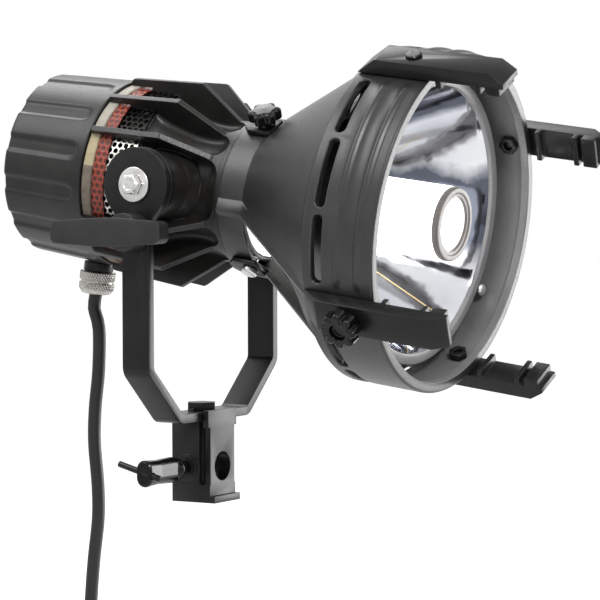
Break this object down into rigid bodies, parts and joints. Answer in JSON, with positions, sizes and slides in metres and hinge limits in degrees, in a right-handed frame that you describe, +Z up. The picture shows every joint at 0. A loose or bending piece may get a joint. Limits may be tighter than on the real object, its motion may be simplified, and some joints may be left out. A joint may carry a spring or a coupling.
{
  "type": "hmi spotlight",
  "caption": "Small daylight spotlight with a finned lamp housing, a conical reflector front, a tilting yoke and a spigot receiver.",
  "frame": {"origin": "middle of the receiver block's underside, at the mouth of the spigot socket", "axes": "+Z up along the spigot, the light points along -Y, +X toward its left-hand side seen from the front"},
  "size_m": [0.1883, 0.3135, 0.5444],
  "materials": {
    "casting": "satin black coating over a die casting",
    "coating": "fine satin black powder coating",
    "gloss_plastic": "moulded, glossy",
    "lever": "textured black",
    "bright": "zinc plated",
    "perforated_screen": "perforated sheet",
    "red_band": "satin red",
    "ceramic": "cream insulating board",
    "bezel": "grey satin anodised",
    "mirror": "polished reflector aluminium",
    "frosted_glass": "frosted",
    "clear_glass": "clear quartz",
    "rubber": "matte",
    "plastic": "matte"
  },
  "bodies": {
    "yoke": {"receiver_block": "coating", "base_bolt": "coating", "base_pin": "coating", "yoke": "coating", "pivot_washer_near": "bright", "pivot_washer_far": "bright", "pivot_bolt_near": "bright", "pivot_bolt_far": "bright", "lever_stud": "bright", "cable": "rubber", "connector_body": "rubber", "connector_insert": "plastic"},
    "tilt_lever": {"tilt_lever": "lever"},
    "clamp_shoe": {"clamp_shoe": "bright"},
    "clamp_screw": {"clamp_screw": "gloss_plastic", "tommy_bar": "gloss_plastic"},
    "head": {"lamp_housing": "casting", "vent_screen": "perforated_screen", "red_band": "red_band", "insulator_ring": "ceramic", "rear_cap": "casting", "socket_plate": "bright", "igniter_block": "plastic", "lamp_socket": "ceramic", "lamp": "clear_glass", "beaker": "frosted_glass", "beaker_rim": "bezel", "beaker_lens": "frosted_glass", "beaker_holder": "bright", "gland_base": "coating", "gland_nut": "bright", "friction_disc_near": "coating", "friction_disc_far": "coating"},
    "front": {"reflector_housing": "casting", "reflector": "mirror", "reflector_bezel": "bezel", "bezel_screw_1": "bright", "bezel_screw_2": "bright", "bezel_screw_3": "bright", "ear_1": "coating", "ear_2": "coating", "ear_3": "coating", "ear_4": "coating", "ear_nut_1": "coating", "ear_nut_2": "coating", "ear_nut_3": "coating", "ear_nut_4": "coating", "ear_screw_1": "coating", "ear_screw_3": "coating", "ear_screw_4": "coating", "collar_jaw_1": "coating", "collar_jaw_2": "coating", "collar_jaw_3": "coating", "clamp_screw_2": "bright", "clamp_screw_3": "bright"},
    "ear_knob": {"ear_knob": "gloss_plastic"},
    "collar_knob": {"collar_knob": "gloss_plastic"}
  },
  "joints": [
    {"name": "head_tilt", "type": "hinge", "parent": "yoke", "child": "head", "pos_m": [0, 0, 0.1724], "axis": [1, 0, 0], "range_deg": [-68, 32], "deforming": ["cable"]},
    {"name": "front_release", "type": "slide", "parent": "head", "child": "front", "axis": [0, -0.9907, -0.1357], "range_m": [0, 0.04]},
    {"name": "lever_turn", "type": "hinge", "parent": "yoke", "child": "tilt_lever", "pos_m": [-0.07, 0, 0.1475], "axis": [1, 0, 0], "range_deg": [-40, 0]},
    {"name": "shoe_travel", "type": "slide", "parent": "yoke", "child": "clamp_shoe", "axis": [-1, 0, 0], "range_m": [0, 0.0026]},
    {"name": "screw_turn", "type": "hinge", "parent": "clamp_shoe", "child": "clamp_screw", "pos_m": [-0.04, 0.002, 0.019], "axis": [-1, 0, 0], "range_deg": [0, 720]},
    {"name": "collar_knob_turn", "type": "hinge", "parent": "front", "child": "collar_knob", "pos_m": [0, -0.04954, 0.16561], "axis": [-0.5, -0.1175, 0.858], "range_deg": [0, 360]},
    {"name": "ear_knob_turn", "type": "hinge", "parent": "front", "child": "ear_knob", "pos_m": [0, -0.14514, 0.15252], "axis": [-0.866, 0.0679, -0.4954], "range_deg": [0, 360]}
  ],
  "couplings": [
    {"joint": "shoe_travel", "follows": "screw_turn", "m_per_rad": 0.0002}
  ]
}
